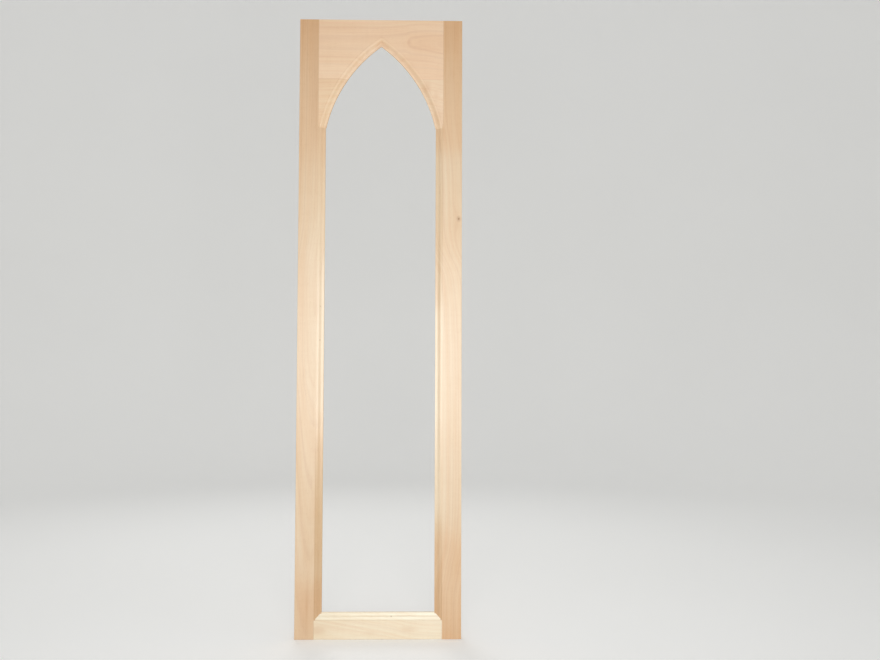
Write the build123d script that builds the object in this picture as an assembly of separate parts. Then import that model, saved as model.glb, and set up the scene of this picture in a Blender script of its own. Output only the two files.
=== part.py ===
from build123d import *
import os
from math import acos, atan2, cos, hypot, sin

# A frame-only cabinet door with a pointed, gothic arch at its head. Two full-height stiles and two
# rails are joined by the cope-and-stick method: the moulded edge, called the sticking, runs the
# whole length of the stiles, and the rail ends are coped to its exact negative, with stub tenons in
# the groove. The back lip is cut away round the opening, which leaves a rebate for the glass.
#
# Units are millimetres. X runs across the door, the front faces -Y, Z is up. The origin is the
# middle of the bottom edge.

# Driving dimensions of the frame
DOOR_WIDTH = 350.0
DOOR_HEIGHT = 1321.0
THICKNESS = 20.6
STILE_WIDTH = 56.5
BOTTOM_RAIL_WIDTH = 55.5
CROWN_WIDTH = 56.5          # the arched rail's width above the point of the arch
ARRIS = 0.8                 # rounding of the outer edges, front and back

# The arch: two arcs of one radius, from the springing at the stiles to the point
ARCH_RISE = 183.5
ARCH_RADIUS = 301.0
UPPER_STAVE_WIDTH = 130.0   # the arched rail is edge-glued from two widths of board
FOOT_END = 4.0              # the feet are cut off this far above the springing, to end blunt

# Sticking, measured outward from the opening's edge and back from the face
STICKING_WIDTH = 16.0
STICKING_DEPTH = 4.4
QUIRK_DEPTH = 0.6           # the crisp step at the face
OUTER_LAND = 3.0            # flat strip between the quirk and the ogee
INNER_LAND = 3.0            # flat strip between the ogee and the opening
OGEE_HOLLOW = 5.6           # width of the ogee's hollow part, next to the inner land
LIP_BEVEL = 0.4             # the lip's sharp edge taken off at the opening

# Joint and rebate
FRONT_THICKNESS = 9.1       # from the face to the groove
GROOVE_WIDTH = 6.4
GROOVE_DEPTH = 9.5
TENON_END_GAP = 0.5         # glue space between a tenon's end and the groove's floor

# How far a cutting shape runs past the wood that it cuts
OVERRUN = 2.0

# Places that follow from the sizes above
HALF_WIDTH = DOOR_WIDTH / 2
FACE_Y = -THICKNESS / 2
BACK_Y = THICKNESS / 2
GROOVE_FRONT_Y = FACE_Y + FRONT_THICKNESS
GROOVE_BACK_Y = GROOVE_FRONT_Y + GROOVE_WIDTH
OPENING_HALF = HALF_WIDTH - STILE_WIDTH
REBATE_HALF = OPENING_HALF + GROOVE_DEPTH
COPE_HALF = OPENING_HALF + STICKING_WIDTH
TENON_HALF = REBATE_HALF - TENON_END_GAP
APEX_Z = DOOR_HEIGHT - CROWN_WIDTH
SPRINGING_Z = APEX_Z - ARCH_RISE
FOOT_Z = SPRINGING_Z + FOOT_END
STAVE_JOINT_Z = DOOR_HEIGHT - UPPER_STAVE_WIDTH


def arc_centre():
    """Centre (x, z) of the left arc, which runs through the left springing and the point."""
    chord = hypot(OPENING_HALF, ARCH_RISE)
    chord_angle = atan2(ARCH_RISE, OPENING_HALF)
    lean = acos(chord / (2 * ARCH_RADIUS)) - chord_angle
    return -OPENING_HALF + ARCH_RADIUS * cos(lean), SPRINGING_Z - ARCH_RADIUS * sin(lean)


CENTRE_X, CENTRE_Z = arc_centre()


def block(x, y, z):
    """A box between two limits along each axis."""
    size = (x[1] - x[0], y[1] - y[0], z[1] - z[0])
    middle = ((x[0] + x[1]) / 2, (y[0] + y[1]) / 2, (z[0] + z[1]) / 2)
    return Pos(*middle) * Box(*size)


def sticking_edges(at):
    """The moulded line from the face to the opening; at(outward, depth) gives a sketch point."""
    face = at(STICKING_WIDTH, 0)
    quirk = at(STICKING_WIDTH, QUIRK_DEPTH)
    crest = at(STICKING_WIDTH - OUTER_LAND, QUIRK_DEPTH)
    hollow = at(INNER_LAND, STICKING_DEPTH)
    lip = at(LIP_BEVEL, STICKING_DEPTH)
    lip_side = at(0, STICKING_DEPTH + LIP_BEVEL)
    # The round and the hollow share a tangent where the line from crest to hollow crosses
    ogee_width = STICKING_WIDTH - OUTER_LAND - INNER_LAND
    share = OGEE_HOLLOW / ogee_width
    turn = at(INNER_LAND + OGEE_HOLLOW, STICKING_DEPTH - share * (STICKING_DEPTH - QUIRK_DEPTH))
    inward = crest - quirk
    return [
        Line(face, quirk),
        Line(quirk, crest),
        TangentArc(crest, turn, tangent=inward),
        TangentArc(hollow, turn, tangent=-inward),
        Line(hollow, lip),
        Line(lip, lip_side),
    ]


def grooved_section(at, width):
    """Section of a moulded and grooved board; at(outward, depth) gives a sketch point."""
    groove_back = FRONT_THICKNESS + GROOVE_WIDTH
    square_side = Polyline(
        at(0, STICKING_DEPTH + LIP_BEVEL),
        at(0, FRONT_THICKNESS),
        at(GROOVE_DEPTH, FRONT_THICKNESS),
        at(GROOVE_DEPTH, groove_back),
        at(0, groove_back),
        at(0, THICKNESS),
        at(width, THICKNESS),
        at(width, 0),
        at(STICKING_WIDTH, 0),
    )
    return make_face(Wire([*sticking_edges(at), *square_side.edges()]))


def eased_envelope():
    """The whole door's box with its front and back edges rounded, as sanded after glue-up."""
    box = block((-HALF_WIDTH, HALF_WIDTH), (FACE_Y, BACK_Y), (0, DOOR_HEIGHT))
    rims = box.edges().filter_by(Axis.Y, reverse=True)
    return fillet(rims, ARRIS)


def glass_rebate():
    """The space behind the front lip: a box up to the springing and a pointed head above it."""
    low = BOTTOM_RAIL_WIDTH - GROOVE_DEPTH
    depth = (GROOVE_FRONT_Y, BACK_Y + OVERRUN)
    across = (-REBATE_HALF, REBATE_HALF)
    straight = block(across, depth, (low, SPRINGING_Z))
    length = depth[1] - depth[0]
    disc = Cylinder(ARCH_RADIUS + GROOVE_DEPTH, length, rotation=(90, 0, 0))
    middle_y = (depth[0] + depth[1]) / 2
    left = Pos(CENTRE_X, middle_y, CENTRE_Z) * disc
    right = Pos(-CENTRE_X, middle_y, CENTRE_Z) * disc
    head = left & right & block(across, depth, (SPRINGING_Z, DOOR_HEIGHT))
    return straight + head


def arch_cutter():
    """The pointed opening with its sticking: two turned discs, each giving one arc, intersected."""
    def at(outward, depth):
        return Vector(ARCH_RADIUS + outward, FACE_Y + depth)

    square_side = Polyline(
        at(0, STICKING_DEPTH + LIP_BEVEL),
        at(0, THICKNESS + OVERRUN),
        at(-ARCH_RADIUS, THICKNESS + OVERRUN),
        at(-ARCH_RADIUS, -OVERRUN),
        at(STICKING_WIDTH, -OVERRUN),
        at(STICKING_WIDTH, 0),
    )
    section = make_face(Wire([*sticking_edges(at), *square_side.edges()]))
    disc = revolve(section, Axis.Y)
    left_arc = Pos(CENTRE_X, 0, CENTRE_Z) * disc
    right_arc = Pos(-CENTRE_X, 0, CENTRE_Z) * disc
    return left_arc & right_arc


def stile_bar():
    """The left stile before its back lip is cut away."""
    def at(outward, depth):
        return Vector(-OPENING_HALF - outward, FACE_Y + depth)

    return extrude(grooved_section(at, STILE_WIDTH), DOOR_HEIGHT, dir=(0, 0, 1))


def rail_blank(low, high):
    """A rail or stave between two heights: long at the cope, shorter at tenon and back shoulder."""
    front = block((-COPE_HALF, COPE_HALF), (FACE_Y, GROOVE_FRONT_Y), (low, high))
    tenon = block((-TENON_HALF, TENON_HALF), (GROOVE_FRONT_Y, GROOVE_BACK_Y), (low, high))
    back = block((-OPENING_HALF, OPENING_HALF), (GROOVE_BACK_Y, BACK_Y), (low, high))
    return front + tenon + back


def left_stile(bar, rebate, envelope):
    """The bar with its back lip cut away between the rails, for the glass."""
    return (bar - rebate) & envelope


def bottom_rail(bars, rebate, envelope):
    """The straight rail, moulded and grooved along its top edge and coped at both ends."""
    def at(outward, depth):
        return Vector(FACE_Y + depth, BOTTOM_RAIL_WIDTH - outward)

    section = grooved_section(at, BOTTOM_RAIL_WIDTH)
    moulded = extrude(Plane.YZ * section, COPE_HALF, both=True)
    coped = (moulded & rail_blank(0, BOTTOM_RAIL_WIDTH)) - bars
    return (coped - rebate) & envelope


def arch_stave(low, high, bars, cutter, rebate, envelope):
    """One width of the arched rail, sawn to the arch, moulded, rebated and coped at both ends."""
    coped = rail_blank(low, high) - bars
    return (coped - cutter - rebate) & envelope


def build():
    """All sub-parts by node name."""
    bar = stile_bar()
    bars = [bar, mirror(bar, about=Plane.YZ)]
    rebate = glass_rebate()
    envelope = eased_envelope()
    cutter = arch_cutter()
    stile = left_stile(bar, rebate, envelope)
    upper_stave = arch_stave(STAVE_JOINT_Z, DOOR_HEIGHT, bars, cutter, rebate, envelope)
    feet = arch_stave(FOOT_Z, STAVE_JOINT_Z, bars, cutter, rebate, envelope)
    left_foot = feet.solids().sort_by(Axis.X)[0]
    return {
        "left_stile": stile,
        "right_stile": mirror(stile, about=Plane.YZ),
        "bottom_rail": bottom_rail(bars, rebate, envelope),
        "arch_rail_upper_stave": upper_stave,
        "arch_rail_left_foot": left_foot,
        "arch_rail_right_foot": mirror(left_foot, about=Plane.YZ),
    }


os.makedirs("parts", exist_ok=True)
for name, part in build().items():
    export_step(part, f"parts/{name}.step")
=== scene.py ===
import bpy
import numpy as np
from mathutils import Matrix, Vector


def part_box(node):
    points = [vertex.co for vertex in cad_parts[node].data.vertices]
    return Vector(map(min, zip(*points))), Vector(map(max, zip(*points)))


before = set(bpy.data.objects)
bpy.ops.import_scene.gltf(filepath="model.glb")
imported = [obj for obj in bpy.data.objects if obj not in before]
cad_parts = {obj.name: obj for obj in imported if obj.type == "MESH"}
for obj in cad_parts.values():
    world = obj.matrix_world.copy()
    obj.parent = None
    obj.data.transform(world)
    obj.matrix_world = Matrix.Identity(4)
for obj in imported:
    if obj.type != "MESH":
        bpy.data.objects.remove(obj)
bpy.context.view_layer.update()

bl_info = {
    "name": "Arched maple door frame",
    "version": (1, 0, 0),
    "blender": (4, 5, 0),
    "location": "3D View > Sidebar > Door",
    "description": "Dresses the boards of a pointed-arch door frame in maple and sets a studio round it",
    "category": "Object",
}

MM = 0.001


def in_mm(length):
    """A length in metres as millimetres, to a thousandth of one."""
    return round(length / MM, 3)


def linear(hex_colour):
    """An sRGB hex colour as linear red, green and blue: the standard curve, undone for each."""
    channels = np.array([int(hex_colour[i:i + 2], 16) for i in (0, 2, 4)]) / 255
    low = channels / 12.92
    high = ((channels + 0.055) / 1.055) ** 2.4
    return tuple(float(c) for c in np.where(channels <= 0.04045, low, high))


def add_node(tree, kind, inputs=(), **settings):
    """Adds a node of any kind, with its settings, and fills its inputs with values or links."""
    node = tree.nodes.new(kind)
    for name, value in settings.items():
        setattr(node, name, value)
    for key, value in dict(inputs).items():
        if isinstance(value, bpy.types.NodeSocket):
            tree.links.new(value, node.inputs[key])
        else:
            node.inputs[key].default_value = value
    return node


def colour_property(name, description, hex_colour):
    """A colour swatch whose default is an sRGB hex value."""
    return bpy.props.FloatVectorProperty(
        name=name, description=description, subtype="COLOR", size=3, min=0, max=1,
        default=linear(hex_colour))


class MapleProperties(bpy.types.PropertyGroup):
    """Sizes and colours of the maple boards."""
    left_stile: colour_property("Left stile", "Ground colour of the left stile", "F0DDC1")
    right_stile: colour_property("Right stile", "Ground colour of the right stile", "F4E4CA")
    bottom_rail: colour_property("Bottom rail", "Ground colour of the bottom rail", "FFFAE3")
    upper_stave: colour_property(
        "Upper stave", "Ground colour of the arched rail's upper board", "FBDEBD")
    left_foot: colour_property("Left foot", "Ground colour of the arched rail's left foot", "F6D9B5")
    right_foot: colour_property("Right foot", "Ground colour of the arched rail's right foot", "F8E0C1")
    ring_spacing: bpy.props.FloatProperty(
        name="Ring spacing", description="Distance between growth rings, across the log",
        default=5.5 * MM, min=1 * MM, max=12 * MM, precision=4, unit="LENGTH")
    line_strength: bpy.props.FloatProperty(
        name="Line strength", description="How dark the rings that stand out are", default=0.2,
        min=0, max=1, subtype="FACTOR")
    ring_strength: bpy.props.FloatProperty(
        name="Ring strength", description="How dark all the other rings are", default=0.12,
        min=0, max=1, subtype="FACTOR")
    fibre_width: bpy.props.FloatProperty(
        name="Fibre width", description="Width of the fine streaks along the grain",
        default=0.9 * MM, min=0.1 * MM, max=5 * MM, precision=5, unit="LENGTH")
    roughness: bpy.props.FloatProperty(
        name="Roughness", description="Roughness of the sanded face", default=0.42,
        min=0, max=1, subtype="FACTOR")
    burnish: bpy.props.FloatProperty(
        name="Burnish", description="How much smoother the machined moulding is than the face",
        default=0.08, min=0, max=0.3, subtype="FACTOR")


class StudioProperties(bpy.types.PropertyGroup):
    """Sizes, colours and light of the stage."""
    floor_colour: colour_property("Floor", "Colour of the floor and backdrop", "F3F3F1")
    floor_radius: bpy.props.FloatProperty(
        name="Floor radius", description="Where the floor starts to curve up into the backdrop",
        default=2.6, min=1, max=10, unit="LENGTH")
    sweep_radius: bpy.props.FloatProperty(
        name="Sweep radius", description="Radius of the curve between floor and backdrop",
        default=1.2, min=0.2, max=5, unit="LENGTH")
    wall_height: bpy.props.FloatProperty(
        name="Backdrop height", description="Height of the backdrop's top",
        default=3.2, min=1, max=10, unit="LENGTH")
    paleness: bpy.props.FloatProperty(
        name="Paleness", description="How much paler the floor and backdrop show to the camera",
        default=0.16, min=0, max=1, subtype="FACTOR")
    key_power: bpy.props.FloatProperty(
        name="Key power", description="Power of the soft lamp in front", default=5.75,
        min=0, unit="POWER")
    side_power: bpy.props.FloatProperty(
        name="Side power", description="Power of the soft lamp on the right", default=0.7,
        min=0, unit="POWER")
    back_power: bpy.props.FloatProperty(
        name="Back power", description="Power of the soft lamp behind", default=5.3,
        min=0, unit="POWER")
    fill_strength: bpy.props.FloatProperty(
        name="Fill strength", description="Brightness of the surroundings", default=0.55,
        min=0, max=2)
    lens: bpy.props.FloatProperty(
        name="Lens", description="Focal length on a 36 mm wide sensor", default=36.41,
        min=10, max=200, unit="CAMERA")


# The figure of each board, read along its own grain. Places and sizes are in millimetres in the
# door's frame, and amounts and darkness go from 0 to 1.
#
# grain          The axis of the door that the grain runs along.
# seed           Sets the board's own random patterns.
# spacing        How wide this log's faint rings are, against the usual spacing.
# gloss          Specular level of the board.
# painted_edge_highlight
#                A painted highlight: how much paler the moulded edge is painted than the face,
#                for the light and sheen that it catches.
# painted_quirk_shade
#                How much painted shade darkens the crisp step of the moulding, the quirk.
# drift, depth   The pith line, the log's middle, runs behind the board's face. drift is where it
#                lies across the board and depth how far behind the face, as (place along the
#                grain, value). Where the depth changes, rings surface as arched cathedrals; where
#                only the drift changes, the lines bend and stay parallel.
# rings          The few rings that stand out, each as (along, across, darkness, thickness) for a
#                place of the face that its line runs through.
# patches        Soft brown patches, as (along, across, length, width, darkness). Most are mineral
#                streaks; one on the right foot is painted shade.
# knots          Knots, as (along, across, size). Most are pin knots, under a millimetre.
# painted_shade  Painted shade: how much browner and darker the wood is painted, most towards
#                a stile's ends, where the lamp's light falls off, as (place along the grain, amount).
# painted_edge_shade
#                Painted shade on the moulded edge alone: how much browner and darker it is
#                painted, as (place along the grain, amount).

BOARDS = {
    "left_stile": {
        "grain": "Z", "seed": 3.0, "spacing": 1.0,
        "gloss": 0.7, "painted_edge_highlight": 0.4, "painted_quirk_shade": 0.06,
        "drift": ((0, -149), (110, -148), (173, -145), (340, -139), (500, -137), (740, -137),
                  (910, -122), (1321, -119)),
        "depth": ((0, 62), (173, 52), (340, 41), (480, 29), (600, 18), (760, 14), (1321, 14)),
        "rings": ((620, -160, 0.5, 2.0), (620, -153, 0.45, 1.5), (620, -145, 0.4, 1.0),
                  (480, -150, 0.4, 1.4), (400, -160, 0.7, 1.8), (225, -160, 0.5, 1.4),
                  (60, -165, 0.4, 1.6)),
        "patches": ((67, -149, 62, 5, 0.35), (1170, -140, 170, 6, 0.12)),
        "knots": ((628, -126.7, 0.6), (700, -126.2, 0.5)),
        "painted_shade": ((0, 0.35), (60, 0.37), (200, 0.09), (320, 0.13), (420, 0.23), (620, 0.06), (950, 0.19),
                  (1060, 0.36), (1200, 0.42), (1321, 0.52)),
        "painted_edge_shade": ((0, 0.65), (145, 0.97), (230, 0.97), (315, 0.76), (400, 0.45), (500, 0.05),
                       (700, 0.0), (1321, 0.0)),
    },
    "right_stile": {
        "grain": "Z", "seed": 11.0, "spacing": 1.2,
        "gloss": 0.7, "painted_edge_highlight": 0.6, "painted_quirk_shade": 0.06,
        "drift": ((0, 222), (63, 222), (140, 232), (230, 245), (330, 247), (660, 243), (750, 236),
                  (870, 200), (1000, 196), (1170, 181), (1321, 181)),
        "depth": ((0, 30), (1321, 30)),
        "rings": ((1080, 145, 0.5, 1.5), (806, 152, 0.6, 2.6), (500, 142, 0.45, 1.5),
                  (500, 150, 0.5, 1.7), (500, 157, 0.4, 1.4), (500, 164, 0.45, 1.6),
                  (140, 153, 0.5, 1.8)),
        "patches": ((1205, 155, 20, 7, 0.12),),
        "knots": ((889, 168.3, 2.3),),
        "painted_shade": ((0, 0.5), (100, 0.41), (190, 0.36), (320, 0.08), (450, 0.17), (620, 0.17), (850, 0.2),
                  (950, 0.02), (1060, 0.4), (1200, 0.46), (1321, 0.55)),
        "painted_edge_shade": ((0, 0.9), (145, 0.7), (230, 0.56), (320, 0.2), (400, 0.25), (500, 0.0),
                       (650, 0.0), (740, 0.6), (1000, 0.5), (1321, 0.3)),
    },
    "bottom_rail": {
        "grain": "X", "seed": 23.0, "spacing": 1.9,
        "gloss": 1.0, "painted_edge_highlight": 1.0, "painted_quirk_shade": 0.3,
        "drift": ((-135, -8), (-60, -24), (20, -40), (80, -54), (135, -58)),
        "depth": ((-135, 30), (135, 24)),
        "rings": ((-70, 23.5, 0.3, 4.0), (5, 28, 0.4, 3.5), (100, 38, 0.2, 2.5)),
        "patches": ((-127, 19, 20, 12, 0.38), (-16, 14, 22, 7, 0.2), (64, 20, 26, 9, 0.3),
                    (66, 49, 30, 2.0, 0.4), (-12, 47.5, 40, 1.4, 0.25)),
        "knots": ((27.8, 47.2, 0.65),),
        "painted_shade": ((-135, 0.0), (135, 0.0)),
        "painted_edge_shade": ((-135, 0.0), (135, 0.0)),
    },
    "arch_rail_upper_stave": {
        "grain": "X", "seed": 31.0, "spacing": 0.65,
        "gloss": 0.7, "painted_edge_highlight": 0.3, "painted_quirk_shade": 0.12,
        "drift": ((-135, 1271), (0, 1271), (58, 1272), (135, 1268)),
        "depth": ((-135, 41), (0, 40), (50, 38.2), (58, 36.8), (66, 35.0), (95, 33.0), (135, 30.2)),
        "rings": ((-80, 1284.5, 0.65, 2.6), (-80, 1306, 0.4, 3.2), (-80, 1256, 0.55, 2.6),
                  (-80, 1238, 0.35, 2.8), (-80, 1222, 0.5, 3.2), (58, 1272, 0.7, 1.6)),
        "patches": ((60, 1273, 6, 6, 0.2), (95, 1240, 75, 70, 0.14)),
        "knots": (),
        "painted_shade": ((-135, 0.0), (135, 0.0)),
        "painted_edge_shade": ((-135, 0.0), (135, 0.0)),
    },
    "arch_rail_left_foot": {
        "grain": "X", "seed": 43.0, "spacing": 1.1,
        "gloss": 0.7, "painted_edge_highlight": 0.3, "painted_quirk_shade": 0.12,
        "drift": ((-135, 1040), (135, 1046)),
        "depth": ((-135, 40), (135, 40)),
        "rings": ((-120, 1168, 0.3, 2.0), (-125, 1130, 0.3, 2.0)),
        "patches": (),
        "knots": (),
        "painted_shade": ((-135, 0.0), (135, 0.0)),
        "painted_edge_shade": ((-135, 0.0), (135, 0.0)),
    },
    "arch_rail_right_foot": {
        "grain": "X", "seed": 47.0, "spacing": 1.3,
        "gloss": 0.7, "painted_edge_highlight": 0.1, "painted_quirk_shade": 0.12,
        "drift": ((-135, 1040), (60, 1044), (135, 1034)),
        "depth": ((-135, 40), (135, 36)),
        "rings": ((100, 1172, 0.4, 2.0), (120, 1120, 0.3, 2.0)),
        # The second patch lies along the outer edge of the moulding: painted shade beside its quirk
        "patches": ((119, 1157, 9, 13, 0.2), (98, 1172, 12, 24, 0.28), (124, 1108, 30, 34, 0.3)),
        "knots": (),
        "painted_shade": ((-135, 0.0), (135, 0.0)),
        "painted_edge_shade": ((-135, 0.0), (135, 0.0)),
    },
}

# Sizes of the frame in millimetres, read from the solids. The left stile ends at the opening, at
# the back and at the top. The rails butt against the stiles at BUTT_X, and the two boards of the
# arched rail are glued at GLUE_LINE_Z.
STILE_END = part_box("left_stile")[1]
OPENING_HALF = in_mm(-STILE_END.x)
HALF_THICKNESS = in_mm(STILE_END.y)
DOOR_HEIGHT = in_mm(STILE_END.z)
RAIL_TOP_Z = in_mm(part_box("bottom_rail")[1].z)
BUTT_X = in_mm(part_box("bottom_rail")[1].x)
GLUE_LINE_Z = in_mm(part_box("arch_rail_upper_stave")[0].z)

# The pointed arch: the radius of its two arcs, its rise, and the width of wood above its point
ARC_RADIUS = 301.0
ARCH_RISE = 183.5
CROWN_WIDTH = 56.5

# The moulded edge: its depth behind the face, where its crisp step, the quirk, lies outwards from
# the opening, and how far the painted shade in the quirk spreads from there
MOULDING_DEPTH = 5.0
QUIRK_AT = 15.6
QUIRK_SHADE_REACH = 0.9

# How many cells of noise lie between one seed and the next
SEED_STEP = 7.3

# The log's middle wanders sideways within this width. A knot of size 1 pushes the rings outwards
# by KNOT_PUSH, fading out over KNOT_REACH along and across.
WANDER = 3.0
KNOT_PUSH = 3.2
KNOT_REACH = (24.0, 8.0)

# A marked ring darkens over FADE_IN of its thicknesses and ends over FADE_OUT of them. A faint one
# darkens from the share LATE_WOOD of its width to RING_END, and ends sharply from there.
FADE_IN, FADE_OUT = 1.5, 0.7
LATE_WOOD, RING_END = 0.35, 0.93

# How much rougher the fibres and the sawn end grain make the face
FIBRE_ROUGHNESS = 0.12
END_GRAIN_ROUGHNESS = 0.4


def arc_centre():
    """Centre (x, z) of the right-hand arc: ARC_RADIUS away from both of its ends, the right
    springing and the arch's point, and to the left of them."""
    springing_z = DOOR_HEIGHT - CROWN_WIDTH - ARCH_RISE
    chord = np.hypot(OPENING_HALF, ARCH_RISE)
    lean = np.arccos(chord / (2 * ARC_RADIUS)) - np.arctan2(ARCH_RISE, OPENING_HALF)
    x = OPENING_HALF - ARC_RADIUS * np.cos(lean)
    z = springing_z - ARC_RADIUS * np.sin(lean)
    return float(x), float(z)


def shape_curve(mapping, shares, heights):
    """Runs a curve through points that go from share 0 to share 1, without overshoot."""
    handles = mapping.curves[0].points
    handles[0].location = (shares[0], heights[0])
    handles[1].location = (shares[-1], heights[-1])
    for share, height in zip(shares[1:-1], heights[1:-1]):
        handles.new(share, height)
    for handle in handles:
        handle.handle_type = "AUTO_CLAMPED"
    mapping.update()


def grain_guide(tree, along, points):
    """A smooth curve through (place, value) points. Returns its value along the grain, and a
    function that reads the same curve at one place."""
    places, values = np.array(points, float).T
    margin = 0.1 * np.ptp(values) + 0.01
    low, high = values.min() - margin, values.max() + margin
    share = add_node(tree, "ShaderNodeMapRange", {0: along, 1: float(places[0]), 2: float(places[-1])})
    curve = add_node(tree, "ShaderNodeFloatCurve", {"Value": share.outputs[0]})
    bend = curve.mapping.curves[0]
    shares = (places - places[0]) / (places[-1] - places[0])
    heights = (values - low) / (high - low)
    shape_curve(curve.mapping, shares, heights)
    value = add_node(
        tree, "ShaderNodeMapRange", {0: curve.outputs[0], 3: float(low), 4: float(high)}).outputs[0]

    def read(place):
        at = (place - places[0]) / (places[-1] - places[0])
        return low + (high - low) * curve.mapping.evaluate(bend, at)

    return value, read


def door_axes(tree):
    """Places across, behind the face and up the door, in millimetres, from Object coordinates."""
    place = add_node(tree, "ShaderNodeTexCoord").outputs["Object"]
    scaled = add_node(
        tree, "ShaderNodeVectorMath", {0: place, "Scale": 1 / MM}, operation="SCALE").outputs[0]
    axis = add_node(tree, "ShaderNodeSeparateXYZ", {0: scaled}).outputs
    behind = add_node(
        tree, "ShaderNodeMath", {0: axis["Y"], 1: HALF_THICKNESS}, operation="ADD").outputs[0]
    return axis["X"], behind, axis["Z"]


def from_opening(tree, node_name, x, z):
    """Distance outwards from the opening's edge: sideways on a stile, down on the bottom rail,
    and on the arched rail away from the arc on the same side."""
    side = add_node(tree, "ShaderNodeMath", {0: x}, operation="ABSOLUTE").outputs[0]
    if node_name.endswith("stile"):
        return add_node(
            tree, "ShaderNodeMath", {0: side, 1: OPENING_HALF}, operation="SUBTRACT").outputs[0]
    if node_name == "bottom_rail":
        return add_node(
            tree, "ShaderNodeMath", {0: RAIL_TOP_Z, 1: z}, operation="SUBTRACT").outputs[0]
    centre_x, centre_z = arc_centre()
    along = add_node(
        tree, "ShaderNodeMath", {0: side, 1: centre_x}, operation="SUBTRACT").outputs[0]
    up = add_node(tree, "ShaderNodeMath", {0: z, 1: centre_z}, operation="SUBTRACT").outputs[0]
    arm = add_node(tree, "ShaderNodeCombineXYZ", {0: along, 1: up}).outputs[0]
    reach = add_node(tree, "ShaderNodeVectorMath", {0: arm}, operation="LENGTH").outputs["Value"]
    return add_node(
        tree, "ShaderNodeMath", {0: reach, 1: ARC_RADIUS}, operation="SUBTRACT").outputs[0]


def stretched_noise(tree, axes, sizes, seed, detail=2.0, roughness=0.5):
    """Noise whose cells are sizes (along, across, behind) in millimetres."""
    scaled = [
        add_node(
            tree, "ShaderNodeMath", {0: axis, 1: 1 / size, 2: SEED_STEP * seed},
            operation="MULTIPLY_ADD").outputs[0]
        for axis, size in zip(axes, sizes)]
    place = add_node(tree, "ShaderNodeCombineXYZ", enumerate(scaled)).outputs[0]
    return add_node(
        tree, "ShaderNodeTexNoise",
        {"Vector": place, "Scale": 1.0, "Detail": detail, "Roughness": roughness}).outputs["Fac"]


def distance(tree, axes, centre, sizes):
    """Distance from a centre, with each axis measured in its own size."""
    offsets = [
        add_node(
            tree, "ShaderNodeMath", {0: axis, 1: 1 / size, 2: -at / size},
            operation="MULTIPLY_ADD").outputs[0]
        for axis, at, size in zip(axes, centre, sizes)]
    arm = add_node(tree, "ShaderNodeCombineXYZ", enumerate(offsets)).outputs[0]
    return add_node(tree, "ShaderNodeVectorMath", {0: arm}, operation="LENGTH").outputs["Value"]


def log_places(tree, axes, board):
    """Distance from the log's middle in millimetres, pushed outwards round each knot, and again
    with the sign of the side of the middle that it lies on. Then the drift and the depth of that
    middle, as functions of the place along the grain."""
    along, across, behind = axes
    drift, drift_at = grain_guide(tree, along, board["drift"])
    depth, depth_at = grain_guide(tree, along, board["depth"])
    wander = stretched_noise(tree, axes, (110, 40, 40), board["seed"], 1.5)
    sideways = add_node(
        tree, "ShaderNodeMath", {0: wander, 1: WANDER, 2: drift},
        operation="MULTIPLY_ADD").outputs[0]
    offset = add_node(
        tree, "ShaderNodeMath", {0: across, 1: sideways}, operation="SUBTRACT").outputs[0]
    offset = add_node(
        tree, "ShaderNodeMath", {0: offset, 1: WANDER / 2}, operation="ADD").outputs[0]
    below = add_node(tree, "ShaderNodeMath", {0: depth, 1: behind}, operation="SUBTRACT").outputs[0]
    arm = add_node(tree, "ShaderNodeCombineXYZ", {0: offset, 1: below}).outputs[0]
    radius = add_node(tree, "ShaderNodeVectorMath", {0: arm}, operation="LENGTH").outputs["Value"]
    for place, side, size in board["knots"]:
        away = distance(tree, axes, (place, side), [reach * size for reach in KNOT_REACH])
        push = add_node(
            tree, "ShaderNodeMapRange", {0: away, 1: 1.0, 2: 0.0, 3: 0.0, 4: KNOT_PUSH * size},
            interpolation_type="SMOOTHSTEP").outputs[0]
        radius = add_node(tree, "ShaderNodeMath", {0: radius, 1: push}, operation="ADD").outputs[0]
    side = add_node(tree, "ShaderNodeMath", {0: offset}, operation="SIGN").outputs[0]
    signed = add_node(tree, "ShaderNodeMath", {0: radius, 1: side}, operation="MULTIPLY").outputs[0]
    return radius, signed, drift_at, depth_at


def marked_rings(tree, signed, board, drift_at, depth_at):
    """The rings that stand out, as a curve over the signed distance from the log's middle. Each
    darkens slowly outwards and ends sharply. A ring given right over the middle shows on both
    sides of it."""
    peaks = []
    for along, across, darkness, thickness in board["rings"]:
        offset = across - drift_at(along)
        radius = np.hypot(offset, depth_at(along))
        sides = (-1, 1) if abs(offset) < 1 else (np.sign(offset),)
        for side in sides:
            peaks.append((side * radius, darkness))
            peaks.append((side * (radius - FADE_IN * thickness), 0.0))
            peaks.append((side * (radius + FADE_OUT * thickness), 0.0))
    margin = 5.0
    reach = max(abs(place) for place, _ in peaks) + margin
    points = np.array(sorted([(-reach, 0.0), *peaks, (reach, 0.0)]))
    share = add_node(tree, "ShaderNodeMapRange", {0: signed, 1: float(-reach), 2: float(reach)})
    curve = add_node(tree, "ShaderNodeFloatCurve", {"Value": share.outputs[0]})
    shape_curve(curve.mapping, (points[:, 0] + reach) / (2 * reach), points[:, 1])
    return curve.outputs[0]


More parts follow.
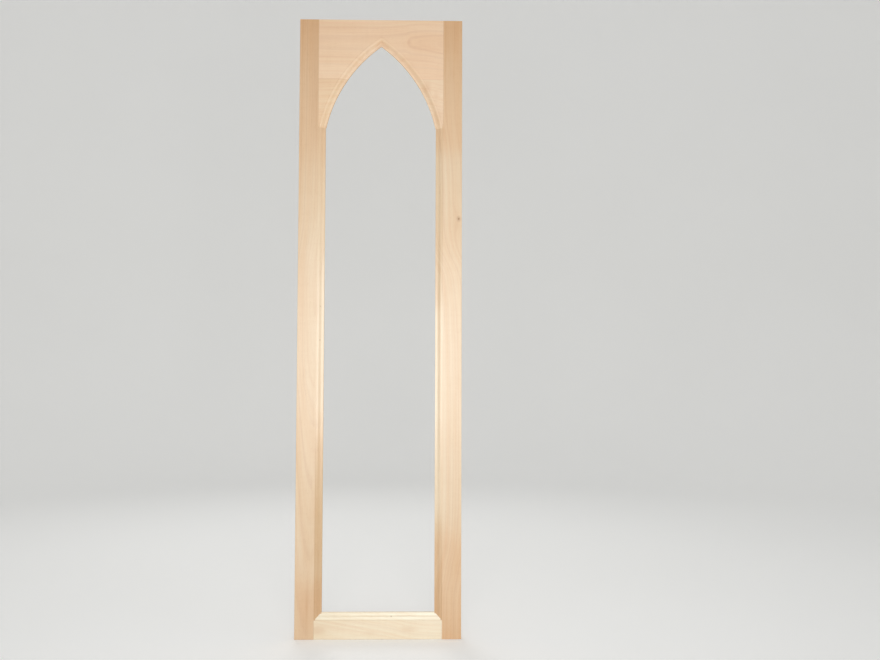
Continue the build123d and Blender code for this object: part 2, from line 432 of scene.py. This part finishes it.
def faint_rings(tree, radius, axes, spacing, seed):
    """All the other growth rings: each darkens slowly outwards, ends sharply, and has its own
    strength, and they come and go along the board."""
    share = add_node(
        tree, "ShaderNodeMath", {0: radius, 1: spacing / MM}, operation="DIVIDE").outputs[0]
    uneven = add_node(
        tree, "ShaderNodeTexNoise", {"W": share, "Scale": 0.45, "Detail": 1.0},
        noise_dimensions="1D").outputs["Fac"]
    count = add_node(
        tree, "ShaderNodeMath", {0: uneven, 1: 2.4, 2: share}, operation="MULTIPLY_ADD").outputs[0]
    place = add_node(tree, "ShaderNodeMath", {0: count}, operation="FRACT").outputs[0]
    rise = add_node(
        tree, "ShaderNodeMapRange", {0: place, 1: LATE_WOOD, 2: RING_END},
        interpolation_type="SMOOTHSTEP").outputs[0]
    fall = add_node(
        tree, "ShaderNodeMapRange", {0: place, 1: 1.0, 2: RING_END},
        interpolation_type="SMOOTHSTEP").outputs[0]
    year = add_node(tree, "ShaderNodeMath", {0: count}, operation="FLOOR").outputs[0]
    own = add_node(
        tree, "ShaderNodeTexWhiteNoise", {"W": year}, noise_dimensions="1D").outputs["Value"]
    patchy = add_node(
        tree, "ShaderNodeMapRange",
        {0: stretched_noise(tree, axes, (170, 26, 26), seed + 5, 2.0), 1: 0.38, 2: 0.62, 3: 0.2},
        interpolation_type="SMOOTHSTEP").outputs[0]
    line = rise
    for factor in (fall, own, patchy):
        line = add_node(
            tree, "ShaderNodeMath", {0: line, 1: factor}, operation="MULTIPLY").outputs[0]
    return line


def wood_figure(tree, axes, board, maple):
    """The patterns in the wood by name, from the log's rings down to its fibres."""
    seed = board["seed"]
    radius, signed, drift_at, depth_at = log_places(tree, axes, board)
    bands = add_node(
        tree, "ShaderNodeTexNoise", {"W": radius, "Scale": 0.13, "Detail": 2.0},
        noise_dimensions="1D").outputs["Fac"]
    # Real fibres and flecks are a tenth of a millimetre wide: these are as coarse as they need
    # to be to show at the distance of the picture
    width = maple.fibre_width / MM
    return {
        "bands": bands,
        "lines": marked_rings(tree, signed, board, drift_at, depth_at),
        "rings": faint_rings(tree, radius, axes, maple.ring_spacing * board["spacing"], seed),
        "fibres": stretched_noise(tree, axes, (55 * width, width, width), seed + 1, 3.0, 0.6),
        "flecks": stretched_noise(tree, axes, (6, 0.8, 0.8), seed + 2, 1.0),
        "clouds": stretched_noise(tree, axes, (240, 38, 38), seed + 3, 3.0),
        "warmth": stretched_noise(tree, axes, (420, 70, 70), seed + 4, 2.0),
        "ripple": stretched_noise(tree, axes, (9, 45, 45), seed + 6, 1.0),
    }


def moulding_mask(tree, behind):
    """1 within the moulding's depth behind the face, and 0 on the face itself."""
    half = MOULDING_DEPTH / 2
    from_middle = distance(tree, (behind,), (half,), (half,))
    return add_node(
        tree, "ShaderNodeMapRange", {0: from_middle, 1: 1.0, 2: 0.85},
        interpolation_type="SMOOTHSTEP").outputs[0]


def quirk_mask(tree, outward, moulded):
    """1 in the moulding's quirk, where painted shade darkens the wood."""
    from_quirk = distance(tree, (outward,), (QUIRK_AT,), (QUIRK_SHADE_REACH,))
    return add_node(
        tree, "ShaderNodeMapRange", {0: from_quirk, 1: 1.0, 2: 0.4, 4: moulded},
        interpolation_type="SMOOTHSTEP").outputs[0]


def end_grain_mask(tree, grain):
    """1 where the surface faces along the grain, and 0 where it faces across."""
    normal = add_node(tree, "ShaderNodeNewGeometry").outputs["Normal"]
    facing = add_node(tree, "ShaderNodeSeparateXYZ", {0: normal}).outputs[grain]
    facing = add_node(tree, "ShaderNodeMath", {0: facing}, operation="ABSOLUTE").outputs[0]
    return add_node(
        tree, "ShaderNodeMapRange", {0: facing, 1: 0.55, 2: 1.0},
        interpolation_type="SMOOTHSTEP").outputs[0]


def mark_layers(tree, axes, board, bands):
    """Tint layers of the board's own patches, most of them mineral and one of painted shade, ragged
    along the rings, and of its knots, each a dark spot in a softer brown halo."""
    layers = []
    for place, side, length, breadth, darkness in board["patches"]:
        away = distance(tree, axes, (place, side), (length, breadth))
        ragged = add_node(
            tree, "ShaderNodeMath", {0: bands, 1: 1.2, 2: away}, operation="MULTIPLY_ADD").outputs[0]
        layers.append((ragged, 1.8, 0.6, darkness, "E7CBB3"))
    for place, side, size in board["knots"]:
        away = distance(tree, axes, (place, side), (1.25 * size, size))
        layers.append((away, 1.0, 0.35, 0.6, "A67C55"))
        layers.append((away, 3.2, 0.5, 0.3, "A67C55"))
    return layers


def glue_layers(tree, node_name, along, across):
    """Tint layers of the glue lines at the ends of a rail and between the arched rail's boards,
    drawn wider than real ones, which would be too fine to show."""
    layers = []
    if BOARDS[node_name]["grain"] == "X":
        side = add_node(tree, "ShaderNodeMath", {0: along}, operation="ABSOLUTE").outputs[0]
        layers.append((distance(tree, (side,), (BUTT_X,), (0.5,)), 1.0, 0.5, 0.35, "A8855F"))
    if node_name.startswith("arch_rail"):
        layers.append(
            (distance(tree, (across,), (GLUE_LINE_Z,), (0.4,)), 1.0, 0.5, 0.2, "B4946E"))
    return layers


def tinted(tree, ground, layers):
    """The ground colour under tint layers. Each multiplies what lies under it and says where,
    from which value up to which, how much, and with what."""
    colour = add_node(tree, "ShaderNodeRGB").outputs[0]
    colour.default_value = (*ground, 1)
    for where, low, high, amount, tint in layers:
        factor = add_node(
            tree, "ShaderNodeMapRange", {0: where, 1: low, 2: high, 4: amount},
            interpolation_type="SMOOTHSTEP").outputs[0]
        colour = add_node(
            tree, "ShaderNodeMix", {0: factor, 6: colour, 7: (*linear(tint), 1)},
            data_type="RGBA", blend_type="MULTIPLY").outputs[2]
    return colour


def satin_roughness(tree, maple, fibres, moulded, end_grain):
    """Roughness of the wood: it varies with the fibres, the machined moulding is smoother than
    the sanded face, and sawn end grain is matt."""
    rough = maple.roughness - FIBRE_ROUGHNESS / 2
    parts = ((fibres, FIBRE_ROUGHNESS), (moulded, -maple.burnish), (end_grain, END_GRAIN_ROUGHNESS))
    for where, amount in parts:
        rough = add_node(
            tree, "ShaderNodeMath", {0: where, 1: amount, 2: rough},
            operation="MULTIPLY_ADD").outputs[0]
    return rough


def sanded_maple(node_name, ground, maple):
    """Hard maple, planed and sanded, without finish: creamy, fine and even, with thin
    red-brown ring lines, faint pinkish clouds and a soft satin sheen along the fibres."""
    board = BOARDS[node_name]
    material = bpy.data.materials.new(f"hard_maple_sanded_{node_name}")
    material.use_nodes = True
    tree = material.node_tree
    tree.nodes.clear()
    x, behind, z = door_axes(tree)
    along, across = (z, x) if board["grain"] == "Z" else (x, z)
    axes = (along, across, behind)
    figure = wood_figure(tree, axes, board, maple)
    end_grain = end_grain_mask(tree, board["grain"])

    # The moulded edge is cut by the machine and not sanded, so it is smoother than the face. Its
    # colour is painted light: it is painted paler than the face, a painted highlight for the light
    # and sheen that it catches, and browner where the board's painted_edge_shade says, as painted shade
    moulded = moulding_mask(tree, behind)
    # Painted shade in the moulding's quirk, where its crisp step would be in shade
    quirk_shade = quirk_mask(tree, from_opening(tree, node_name, x, z), moulded)
    # Painted shade along the grain, most towards a stile's ends, where the lamp's light falls off
    painted_shade, _ = grain_guide(tree, along, board["painted_shade"])
    painted_edge_shade, _ = grain_guide(tree, along, board["painted_edge_shade"])
    edge_shade_amount = add_node(
        tree, "ShaderNodeMath", {0: painted_edge_shade, 1: moulded}, operation="MULTIPLY").outputs[0]

    layers = [
        # Painted shade towards the ends of the stiles
        (painted_shade, 0, 1, 1.0, "F1C795"),
        (figure["warmth"], 0.35, 0.7, 0.35, "F8EADF"),
        (figure["clouds"], 0.35, 0.72, 0.3, "F6E8D6"),
        (figure["bands"], 0.35, 0.7, 0.3, "F6E5D4"),
        # Painted highlight: the face is painted darker than the moulding
        (moulded, 1, 0, board["painted_edge_highlight"], "F8F1EC"),
        # Painted shade on the moulding
        (edge_shade_amount, 0, 1, 1.0, "ECE1D3"),
        (figure["lines"], 0, 1, maple.line_strength, "D7B7AA"),
        (figure["rings"], 0, 1, maple.ring_strength, "D7B7AA"),
        (figure["fibres"], 0.35, 0.75, 0.2, "EADBC8"),
        (figure["flecks"], 0.62, 0.78, 0.25, "D9BFA3"),
        (figure["ripple"], 0.4, 0.7, 0.05, "E9DCCB"),
        (end_grain, 0, 1, 0.35, "E3CDB0"),
        # Painted shade in the quirk
        (quirk_shade, 0, 1, board["painted_quirk_shade"], "C2A483"),
        *mark_layers(tree, axes, board, figure["bands"]),
        *glue_layers(tree, node_name, along, across),
    ]
    colour = tinted(tree, ground, layers)
    rough = satin_roughness(tree, maple, figure["fibres"], moulded, end_grain)
    relief = add_node(
        tree, "ShaderNodeMath", {0: figure["fibres"], 1: 0.6, 2: figure["rings"]},
        operation="MULTIPLY_ADD").outputs[0]
    bump = add_node(
        tree, "ShaderNodeBump", {"Height": relief, "Strength": 0.25, "Distance": 0.05 * MM},
        invert=True).outputs[0]
    # Fibres spread the sheen across themselves, so a stile shines level with the lamp only
    spread = (1, 0, 0) if board["grain"] == "Z" else (0, 0, 1)
    tangent = add_node(tree, "ShaderNodeCombineXYZ", enumerate(spread)).outputs[0]
    shader = add_node(
        tree, "ShaderNodeBsdfPrincipled",
        {"Base Color": colour, "Roughness": rough, "Normal": bump, "IOR": 1.5,
         "Specular IOR Level": board["gloss"], "Anisotropic": 0.9, "Tangent": tangent})
    add_node(tree, "ShaderNodeOutputMaterial", {"Surface": shader.outputs[0]})
    return material


def painted_plaster(studio):
    """Matt wall paint rolled on plaster: pale, with a faint broad mottling and a fine roller nap."""
    material = bpy.data.materials.new("wall_paint_rolled")
    material.use_nodes = True
    tree = material.node_tree
    tree.nodes.clear()
    place = add_node(tree, "ShaderNodeTexCoord").outputs["Object"]
    mottle_size, nap_size = 714.3 * MM, 4 * MM
    mottle = add_node(
        tree, "ShaderNodeTexNoise",
        {"Vector": place, "Scale": 1 / mottle_size, "Detail": 3.0}).outputs["Fac"]
    nap = add_node(
        tree, "ShaderNodeTexNoise",
        {"Vector": place, "Scale": 1 / nap_size, "Detail": 1.0}).outputs["Fac"]
    shade = add_node(
        tree, "ShaderNodeMapRange", {0: mottle, 1: 0.3, 2: 0.7, 4: 0.25},
        interpolation_type="SMOOTHSTEP").outputs[0]
    colour = add_node(
        tree, "ShaderNodeMix",
        {0: shade, 6: (*studio.floor_colour, 1), 7: (*linear("EDEDEB"), 1)},
        data_type="RGBA").outputs[2]
    bump = add_node(
        tree, "ShaderNodeBump",
        {"Height": nap, "Strength": 0.1, "Distance": 0.2 * MM}).outputs[0]
    # The backdrop shows paler than its light alone would make it, and lights nothing more
    material.cycles.emission_sampling = "NONE"
    path = add_node(tree, "ShaderNodeLightPath").outputs
    shown = path["Is Camera Ray"]
    for ray in ("Is Glossy Ray", "Is Transmission Ray"):
        shown = add_node(
            tree, "ShaderNodeMath", {0: shown, 1: path[ray]}, operation="MAXIMUM").outputs[0]
    glow = add_node(
        tree, "ShaderNodeMath", {0: shown, 1: studio.paleness}, operation="MULTIPLY").outputs[0]
    shader = add_node(
        tree, "ShaderNodeBsdfPrincipled",
        {"Base Color": colour, "Roughness": 0.9, "Normal": bump,
         "Emission Color": (1, 1, 1, 1), "Emission Strength": glow})
    add_node(tree, "ShaderNodeOutputMaterial", {"Surface": shader.outputs[0]})
    return material


def mesh_from_rings(name, rings):
    """A mesh object from an array of closed rings (rings, points in a ring, 3), each joined to the
    next by quads."""
    count, columns, _ = rings.shape
    here = np.arange(count * columns).reshape(count, columns)
    after = np.roll(here, -1, axis=1)
    faces = np.stack([here[:-1], after[:-1], after[1:], here[1:]], axis=-1).reshape(-1, 4)
    mesh = bpy.data.meshes.new(name)
    mesh.from_pydata(rings.reshape(-1, 3).tolist(), [], faces.tolist())
    mesh.shade_smooth()
    piece = bpy.data.objects.new(name, mesh)
    bpy.context.scene.collection.objects.link(piece)
    return piece


def studio_bowl(studio):
    """A floor that sweeps up into a round wall. The point at angle a and arc length s is
    (r cos a, r sin a, h), where (r, h) goes out along the floor, up a quarter circle and up the
    wall as s grows."""
    flat, sweep, top = studio.floor_radius, studio.sweep_radius, studio.wall_height
    floor_rings, sweep_rings, columns = 13, 32, 96
    floor = [1 * MM, *np.linspace(0.2, flat, floor_rings)]
    turn = np.linspace(0, np.pi / 2, sweep_rings + 1)[1:]
    reach = np.array([*floor, *(flat + sweep * np.sin(turn)), flat + sweep])
    height = np.array([*np.zeros(len(floor)), *(sweep * (1 - np.cos(turn))), top])
    # The floor lies just under the door, so that their faces don't share a plane
    height -= 0.1 * MM
    angle = np.linspace(0, 2 * np.pi, columns, endpoint=False)[::-1]
    rings = np.stack([
        reach[:, None] * np.cos(angle), reach[:, None] * np.sin(angle),
        np.broadcast_to(height[:, None], (len(reach), columns))], axis=-1)
    return mesh_from_rings("studio_floor", rings)


# Each soft lamp: the property that holds its power, then its size, its place and the point that it
# is turned to, in metres
LAMPS = {
    "key_lamp": ("key_power", 0.8, (0.1, -1.95, 0.62), (0.0, 0.0, 0.62)),
    "side_lamp": ("side_power", 1.0, (2.0, -1.0, 0.9), (0.0, 0.0, 0.66)),
    "back_lamp": ("back_power", 1.4, (-0.6, 2.6, 2.2), (0.0, 0.2, 0.62)),
}
LAMP_SPREAD = np.radians(95)

# The camera's place, and the directions of its right and its up
CAMERA_PLACE = (0.08728, -1.90603, 0.56468)
CAMERA_RIGHT = (0.999754, -0.021968, 0.002919)
CAMERA_UP = (-0.003904, -0.04495, 0.998982)


def soft_lamp(name, power, size, place, towards):
    """A square area lamp at a place, turned to a point, that the camera doesn't see."""
    light = bpy.data.lights.new(name, "AREA")
    light.energy = power
    light.size = size
    light.spread = LAMP_SPREAD
    lamp = bpy.data.objects.new(name, light)
    lamp.location = place
    lamp.rotation_mode = "QUATERNION"
    lamp.rotation_quaternion = (Vector(towards) - Vector(place)).to_track_quat("-Z", "Y")
    lamp.visible_camera = False
    bpy.context.scene.collection.objects.link(lamp)


def even_surroundings(scene, strength):
    """A white world that lights the door evenly from all round."""
    world = scene.world or bpy.data.worlds.new("surroundings")
    scene.world = world
    world.use_nodes = True
    tree = world.node_tree
    tree.nodes.clear()
    sky = add_node(
        tree, "ShaderNodeBackground", {"Color": (1, 1, 1, 1), "Strength": strength}).outputs[0]
    add_node(tree, "ShaderNodeOutputWorld", {"Surface": sky})


def set_camera(scene, lens):
    """The scene's camera, in front of the door and a little below its middle."""
    optics = bpy.data.cameras.new("camera")
    optics.lens = lens
    optics.sensor_width = 36
    camera = bpy.data.objects.new("camera", optics)
    right, up = Vector(CAMERA_RIGHT), Vector(CAMERA_UP)
    turned = Matrix((right, up, right.cross(up))).transposed().to_4x4()
    camera.matrix_world = Matrix.Translation(CAMERA_PLACE) @ turned
    scene.collection.objects.link(camera)
    scene.camera = camera


def dress(*node_names):
    """Puts a maple material on each named solid."""
    maple = bpy.context.scene.door_maple
    for name in node_names:
        ground = getattr(maple, name.removeprefix("arch_rail_"))
        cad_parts[name].material_slots[0].material = sanded_maple(name, ground, maple)


class DOOR_OT_stiles(bpy.types.Operator):
    """Dresses both stiles in maple whose grain runs up the door"""
    bl_idname = "door.stiles"
    bl_label = "Dress the stiles"

    def execute(self, context):
        dress("left_stile", "right_stile")
        return {"FINISHED"}


class DOOR_OT_bottom_rail(bpy.types.Operator):
    """Dresses the bottom rail in the palest maple, with its grain across the door"""
    bl_idname = "door.bottom_rail"
    bl_label = "Dress the bottom rail"

    def execute(self, context):
        dress("bottom_rail")
        return {"FINISHED"}


class DOOR_OT_arched_rail(bpy.types.Operator):
    """Dresses the three pieces of the arched rail, with a glue line between its two boards"""
    bl_idname = "door.arched_rail"
    bl_label = "Dress the arched rail"

    def execute(self, context):
        dress("arch_rail_upper_stave", "arch_rail_left_foot", "arch_rail_right_foot")
        return {"FINISHED"}


class DOOR_OT_studio(bpy.types.Operator):
    """Sets the floor, the backdrop, the lamps, the surroundings and the camera"""
    bl_idname = "door.studio"
    bl_label = "Set the studio"

    def execute(self, context):
        scene = context.scene
        studio = scene.door_studio
        floor = studio_bowl(studio)
        floor.data.materials.append(painted_plaster(studio))
        for name, (power, size, place, towards) in LAMPS.items():
            soft_lamp(name, getattr(studio, power), size, place, towards)
        even_surroundings(scene, studio.fill_strength)
        set_camera(scene, studio.lens)
        scene.view_settings.view_transform = "Standard"
        return {"FINISHED"}


class DOOR_PT_panel(bpy.types.Panel):
    """Lists the steps that dress the door"""
    bl_idname = "DOOR_PT_panel"
    bl_label = "Arched door"
    bl_space_type = "VIEW_3D"
    bl_region_type = "UI"
    bl_category = "Door"

    def draw(self, context):
        for group in (context.scene.door_maple, context.scene.door_studio):
            box = self.layout.box()
            for name in group.bl_rna.properties.keys():
                if name not in ("rna_type", "name"):
                    box.prop(group, name)
        for step in STEPS:
            self.layout.operator(step.bl_idname)


STEPS = (DOOR_OT_stiles, DOOR_OT_bottom_rail, DOOR_OT_arched_rail, DOOR_OT_studio)
CLASSES = (MapleProperties, StudioProperties, *STEPS, DOOR_PT_panel)


def register():
    for cls in CLASSES:
        bpy.utils.register_class(cls)
    bpy.types.Scene.door_maple = bpy.props.PointerProperty(type=MapleProperties)
    bpy.types.Scene.door_studio = bpy.props.PointerProperty(type=StudioProperties)


def unregister():
    del bpy.types.Scene.door_studio
    del bpy.types.Scene.door_maple
    for cls in reversed(CLASSES):
        bpy.utils.unregister_class(cls)


def main():
    register()
    bpy.ops.door.stiles()
    bpy.ops.door.bottom_rail()
    bpy.ops.door.arched_rail()
    bpy.ops.door.studio()


if __name__ == "__main__":
    main()
